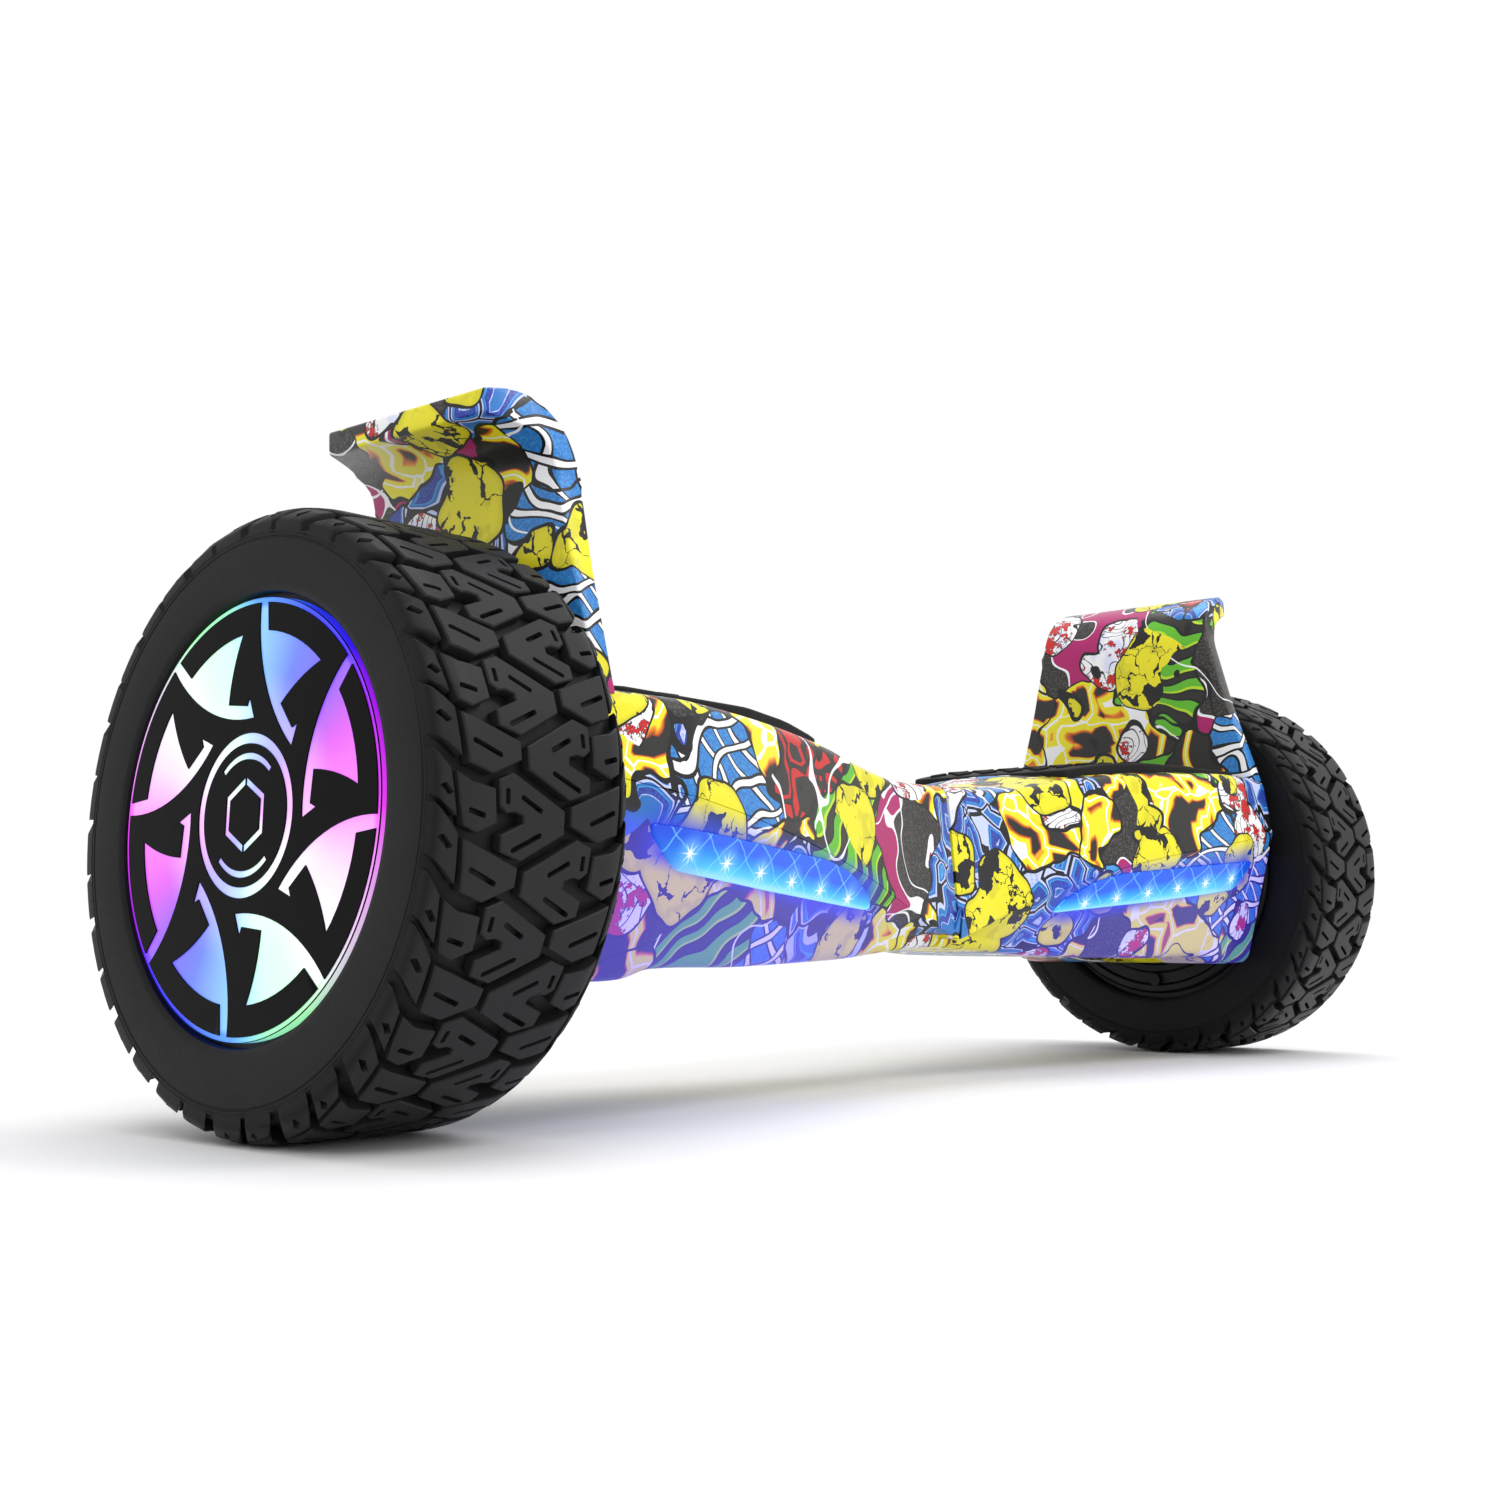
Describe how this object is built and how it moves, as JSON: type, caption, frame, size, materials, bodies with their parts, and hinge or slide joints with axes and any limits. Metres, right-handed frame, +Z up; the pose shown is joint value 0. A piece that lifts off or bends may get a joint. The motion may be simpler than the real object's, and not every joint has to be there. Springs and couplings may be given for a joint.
{
  "type": "self balancing hoverboard",
  "caption": "Self balancing board with two twisting halves, hub motor wheels with lit discs, fenders over the tyres, pressure mats and front lamps.",
  "frame": {"origin": "middle of the board, on the ground under the twist joint", "axes": "+X along the board from wheel to wheel, +Z up, -Y the front with the lamps"},
  "size_m": [0.704, 0.216, 0.2657],
  "materials": {
    "chassis_paint": "satin",
    "printed_shell": "gloss",
    "printed_lower_shell": "gloss",
    "printed_fender": "gloss",
    "black_screw": "satin",
    "mat_rubber": "matte",
    "lamp_lens": "gloss",
    "circuit_board": "satin",
    "axle_steel": "satin",
    "cast_aluminium": "satin",
    "zinc_steel": "satin",
    "motor_core": "satin",
    "magnet": "satin",
    "rim_aluminium": "satin",
    "tyre_rubber": "matte",
    "black_aluminium": "satin",
    "bearing_steel": "polished",
    "hub_lamp": "gloss",
    "gloss_black": "gloss",
    "cable_sheath": "matte",
    "smoked_window": "gloss",
    "black_plastic": "satin",
    "port_metal": "polished",
    "bush_brass": "satin",
    "battery_wrap": "satin",
    "strap_plastic": "matte",
    "button_plastic": "gloss",
    "cap_rubber": "matte"
  },
  "bodies": {
    "left_half": {"left_frame": "chassis_paint", "left_upper_shell": "printed_shell", "left_lower_shell": "printed_lower_shell", "left_fender": "printed_fender", "left_fender_screws": "black_screw", "left_light_lens": "lamp_lens", "left_led_strip": "circuit_board", "left_axle": "axle_steel", "left_axle_clamp": "cast_aluminium", "left_clamp_bolts": "zinc_steel", "left_stator": "motor_core", "left_sensor_board": "circuit_board", "left_shell_screws": "black_screw", "left_motor_cable": "cable_sheath", "pivot_tube": "axle_steel", "retaining_ring": "zinc_steel", "harness": "cable_sheath", "control_board": "circuit_board", "status_window": "smoked_window", "power_switch": "black_plastic", "charge_port": "port_metal"},
    "right_half": {"right_frame": "chassis_paint", "right_upper_shell": "printed_shell", "right_lower_shell": "printed_lower_shell", "right_fender": "printed_fender", "right_fender_screws": "black_screw", "right_light_lens": "lamp_lens", "right_led_strip": "circuit_board", "right_axle": "axle_steel", "right_axle_clamp": "cast_aluminium", "right_clamp_bolts": "zinc_steel", "right_stator": "motor_core", "right_sensor_board": "circuit_board", "right_shell_screws": "black_screw", "right_motor_cable": "cable_sheath", "pivot_bushes": "bush_brass", "battery_pack": "battery_wrap", "battery_strap": "strap_plastic"},
    "left_wheel": {"left_magnets": "magnet", "left_rim": "rim_aluminium", "left_tyre": "tyre_rubber", "left_motor_cover": "black_aluminium", "left_cover_screws": "zinc_steel", "left_wheel_bearings": "bearing_steel", "left_hub_light": "hub_lamp", "left_hub_mask": "gloss_black"},
    "right_wheel": {"right_magnets": "magnet", "right_rim": "rim_aluminium", "right_tyre": "tyre_rubber", "right_motor_cover": "black_aluminium", "right_cover_screws": "zinc_steel", "right_wheel_bearings": "bearing_steel", "right_hub_light": "hub_lamp", "right_hub_mask": "gloss_black"},
    "left_mat": {"left_foot_mat": "mat_rubber"},
    "right_mat": {"right_foot_mat": "mat_rubber"},
    "power_button": {"power_button": "button_plastic"},
    "charge_cap": {"charge_port_cap": "cap_rubber"}
  },
  "joints": [
    {"name": "centre_twist", "type": "hinge", "parent": "left_half", "child": "right_half", "pos_m": [0, 0, 0.1], "axis": [1, 0, 0], "range_deg": [-12, 12]},
    {"name": "left_wheel_spin", "type": "hinge", "parent": "left_half", "child": "left_wheel", "pos_m": [-0.311, 0, 0.108], "axis": [1, 0, 0], "continuous": true},
    {"name": "right_wheel_spin", "type": "hinge", "parent": "right_half", "child": "right_wheel", "pos_m": [0.311, 0, 0.108], "axis": [1, 0, 0], "continuous": true},
    {"name": "left_mat_press", "type": "slide", "parent": "left_half", "child": "left_mat", "axis": [0, 0, -1], "range_m": [0, 0.0015], "stiffness_N_per_m": 8000, "springref_m": -0.0006},
    {"name": "right_mat_press", "type": "slide", "parent": "right_half", "child": "right_mat", "axis": [0, 0, -1], "range_m": [0, 0.0015], "stiffness_N_per_m": 8000, "springref_m": -0.0006},
    {"name": "power_button_press", "type": "slide", "parent": "left_half", "child": "power_button", "axis": [-0.1195, -0.9313, 0.344], "range_m": [0, 0.0012], "stiffness_N_per_m": 800, "springref_m": -0.0004},
    {"name": "charge_cap_swing", "type": "hinge", "parent": "left_half", "child": "charge_cap", "pos_m": [-0.11778, 0.06736, 0.08677], "axis": [0.9807, -0.1795, -0.0778], "range_deg": [0, 110]}
  ]
}
